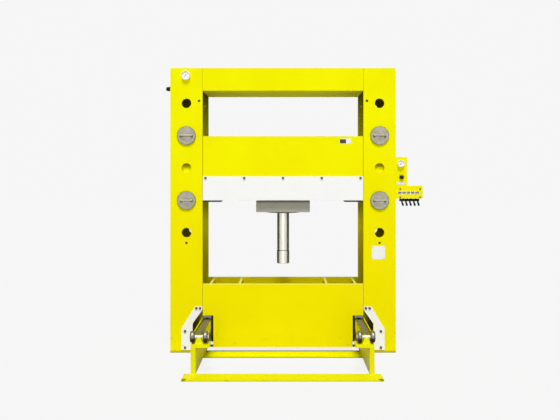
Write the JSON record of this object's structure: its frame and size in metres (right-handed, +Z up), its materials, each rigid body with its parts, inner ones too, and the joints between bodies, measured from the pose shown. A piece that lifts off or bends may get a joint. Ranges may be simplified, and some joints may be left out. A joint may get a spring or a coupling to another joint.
{
  "type": "hydraulic press",
  "caption": "Two-column hydraulic press with a side-shifting workhead and ram, a pinned bolster and a table that rolls out on front rails",
  "frame": {"origin": "on the floor midway between the columns and midway from front to rear, under the ram", "axes": "X to the right, -Y towards the front where the table rolls out, Z up"},
  "size_m": [2.727, 1.731, 3.018],
  "materials": {
    "yellow_paint": "glossy industrial enamel",
    "white_paint": "white enamel",
    "grey_paint": "grey enamel",
    "pin_steel": "turned steel, dull",
    "bright_steel": "ground and plated",
    "roller_steel": "worn machined steel",
    "bolt_steel": "zinc plated",
    "black_steel": "black enamel",
    "black_plastic": "moulded black",
    "gauge_case": "light grey enamel",
    "gauge_dial": "white dial",
    "blank_plate": "bare white-faced plate"
  },
  "bodies": {
    "frame": {"blank_plates": "blank_plate", "bolster_beams": "yellow_paint", "bolster_cover": "white_paint", "bolster_end_plates": "yellow_paint", "bolster_front_plate": "yellow_paint", "bolster_rear_plate": "yellow_paint", "control_panel": "yellow_paint", "crosshead": "yellow_paint", "floor_ties": "yellow_paint", "foot_bar": "yellow_paint", "gauge_cases": "gauge_case", "gauge_dials": "gauge_dial", "hex_bolts": "bolt_steel", "left_rail": "yellow_paint", "left_roller_bracket": "yellow_paint", "left_upright_front_plate": "yellow_paint", "rear_tie": "yellow_paint", "right_rail": "yellow_paint", "right_roller_bracket": "yellow_paint", "right_upright_front_plate": "yellow_paint", "side_fitting": "black_steel", "toe_plates": "white_paint", "travel_stops": "black_steel", "upright_rear_plates": "yellow_paint", "upright_side_plates": "yellow_paint", "upright_top_plates": "yellow_paint", "valve_bank": "black_steel"},
    "workhead": {"workhead_block": "grey_paint", "cylinder_barrel": "grey_paint", "carriage_plate": "grey_paint", "gland_ring": "bright_steel"},
    "ram": {"ram_rod": "bright_steel", "piston": "bright_steel", "ram_nose": "bright_steel"},
    "table": {"table_cross_plates": "yellow_paint", "table_front_plate": "yellow_paint", "table_guide_plates": "black_steel", "table_rear_plate": "yellow_paint", "table_runners": "roller_steel", "table_wheel_pins": "bright_steel"},
    "knob": {"pressure_knob": "black_plastic"},
    "left_needle": {"left_gauge_needle": "black_plastic"},
    "right_needle": {"right_gauge_needle": "black_plastic"},
    "left_lower_pin_body": {"left_lower_pin": "pin_steel"},
    "right_lower_pin_body": {"right_lower_pin": "pin_steel"},
    "left_upper_pin_body": {"left_upper_pin": "pin_steel"},
    "right_upper_pin_body": {"right_upper_pin": "pin_steel"},
    "lever_1": {"valve_lever_1": "black_plastic"},
    "lever_2": {"valve_lever_2": "black_plastic"},
    "lever_3": {"valve_lever_3": "black_plastic"},
    "lever_4": {"valve_lever_4": "black_plastic"},
    "lever_5": {"valve_lever_5": "black_plastic"},
    "left_front_wheel": {"left_front_table_wheel": "roller_steel"},
    "left_rear_wheel": {"left_rear_table_wheel": "roller_steel"},
    "left_inner_roller_body": {"left_inner_roller": "roller_steel"},
    "left_outer_roller_body": {"left_outer_roller": "roller_steel"},
    "right_front_wheel": {"right_front_table_wheel": "roller_steel"},
    "right_rear_wheel": {"right_rear_table_wheel": "roller_steel"},
    "right_inner_roller_body": {"right_inner_roller": "roller_steel"},
    "right_outer_roller_body": {"right_outer_roller": "roller_steel"}
  },
  "joints": [
    {"name": "workhead_travel", "type": "slide", "parent": "frame", "child": "workhead", "axis": [1, 0, 0], "range_m": [-0.3545, 0.3545]},
    {"name": "ram_stroke", "type": "slide", "parent": "workhead", "child": "ram", "axis": [0, 0, 1], "range_m": [0, 0.406]},
    {"name": "table_travel", "type": "slide", "parent": "frame", "child": "table", "axis": [0, -1, 0], "range_m": [0, 0.73]},
    {"name": "left_front_wheel_turn", "type": "hinge", "parent": "table", "child": "left_front_wheel", "pos_m": [-0.804, -0.245, 0.3703], "axis": [1, 0, 0], "continuous": true},
    {"name": "left_rear_wheel_turn", "type": "hinge", "parent": "table", "child": "left_rear_wheel", "pos_m": [-0.804, 0.205, 0.3703], "axis": [1, 0, 0], "continuous": true},
    {"name": "right_front_wheel_turn", "type": "hinge", "parent": "table", "child": "right_front_wheel", "pos_m": [0.804, -0.245, 0.3703], "axis": [1, 0, 0], "continuous": true},
    {"name": "right_rear_wheel_turn", "type": "hinge", "parent": "table", "child": "right_rear_wheel", "pos_m": [0.804, 0.205, 0.3703], "axis": [1, 0, 0], "continuous": true},
    {"name": "left_inner_roller_turn", "type": "hinge", "parent": "frame", "child": "left_inner_roller_body", "pos_m": [-0.728, -1.143, 0.35], "axis": [1, 0, 0], "continuous": true},
    {"name": "left_outer_roller_turn", "type": "hinge", "parent": "frame", "child": "left_outer_roller_body", "pos_m": [-0.85, -1.143, 0.35], "axis": [1, 0, 0], "continuous": true},
    {"name": "right_inner_roller_turn", "type": "hinge", "parent": "frame", "child": "right_inner_roller_body", "pos_m": [0.728, -1.143, 0.35], "axis": [1, 0, 0], "continuous": true},
    {"name": "right_outer_roller_turn", "type": "hinge", "parent": "frame", "child": "right_outer_roller_body", "pos_m": [0.85, -1.143, 0.35], "axis": [1, 0, 0], "continuous": true},
    {"name": "left_lower_pin_pull", "type": "slide", "parent": "frame", "child": "left_lower_pin_body", "axis": [0, -1, 0], "range_m": [0, 0.6]},
    {"name": "left_upper_pin_pull", "type": "slide", "parent": "frame", "child": "left_upper_pin_body", "axis": [0, -1, 0], "range_m": [0, 0.6]},
    {"name": "right_lower_pin_pull", "type": "slide", "parent": "frame", "child": "right_lower_pin_body", "axis": [0, -1, 0], "range_m": [0, 0.6]},
    {"name": "right_upper_pin_pull", "type": "slide", "parent": "frame", "child": "right_upper_pin_body", "axis": [0, -1, 0], "range_m": [0, 0.6]},
    {"name": "lever_1_swing", "type": "hinge", "parent": "frame", "child": "lever_1", "pos_m": [1.26, -0.27, 1.618], "axis": [1, 0, 0], "range_deg": [-15, 15], "stiffness_Nm_per_rad": 4},
    {"name": "lever_2_swing", "type": "hinge", "parent": "frame", "child": "lever_2", "pos_m": [1.302, -0.27, 1.618], "axis": [1, 0, 0], "range_deg": [-15, 15], "stiffness_Nm_per_rad": 4},
    {"name": "lever_3_swing", "type": "hinge", "parent": "frame", "child": "lever_3", "pos_m": [1.344, -0.27, 1.618], "axis": [1, 0, 0], "range_deg": [-15, 15], "stiffness_Nm_per_rad": 4},
    {"name": "lever_4_swing", "type": "hinge", "parent": "frame", "child": "lever_4", "pos_m": [1.386, -0.27, 1.618], "axis": [1, 0, 0], "range_deg": [-15, 15], "stiffness_Nm_per_rad": 4},
    {"name": "lever_5_swing", "type": "hinge", "parent": "frame", "child": "lever_5", "pos_m": [1.428, -0.27, 1.618], "axis": [1, 0, 0], "range_deg": [-15, 15], "stiffness_Nm_per_rad": 4},
    {"name": "knob_turn", "type": "hinge", "parent": "frame", "child": "knob", "pos_m": [1.256, -0.305, 1.862], "axis": [0, 1, 0], "range_deg": [-150, 150]},
    {"name": "left_needle_turn", "type": "hinge", "parent": "frame", "child": "left_needle", "pos_m": [-1.031, -0.326, 2.938], "axis": [0, 1, 0], "range_deg": [0, 270], "stiffness_Nm_per_rad": 0.01},
    {"name": "right_needle_turn", "type": "hinge", "parent": "frame", "child": "right_needle", "pos_m": [1.247, -0.326, 2.005], "axis": [0, 1, 0], "range_deg": [0, 270], "stiffness_Nm_per_rad": 0.01}
  ],
  "couplings": [
    {"joint": "left_front_wheel_turn", "follows": "table_travel", "rad_per_m": 50},
    {"joint": "left_rear_wheel_turn", "follows": "table_travel", "rad_per_m": 50},
    {"joint": "right_front_wheel_turn", "follows": "table_travel", "rad_per_m": 50},
    {"joint": "right_rear_wheel_turn", "follows": "table_travel", "rad_per_m": 50}
  ]
}
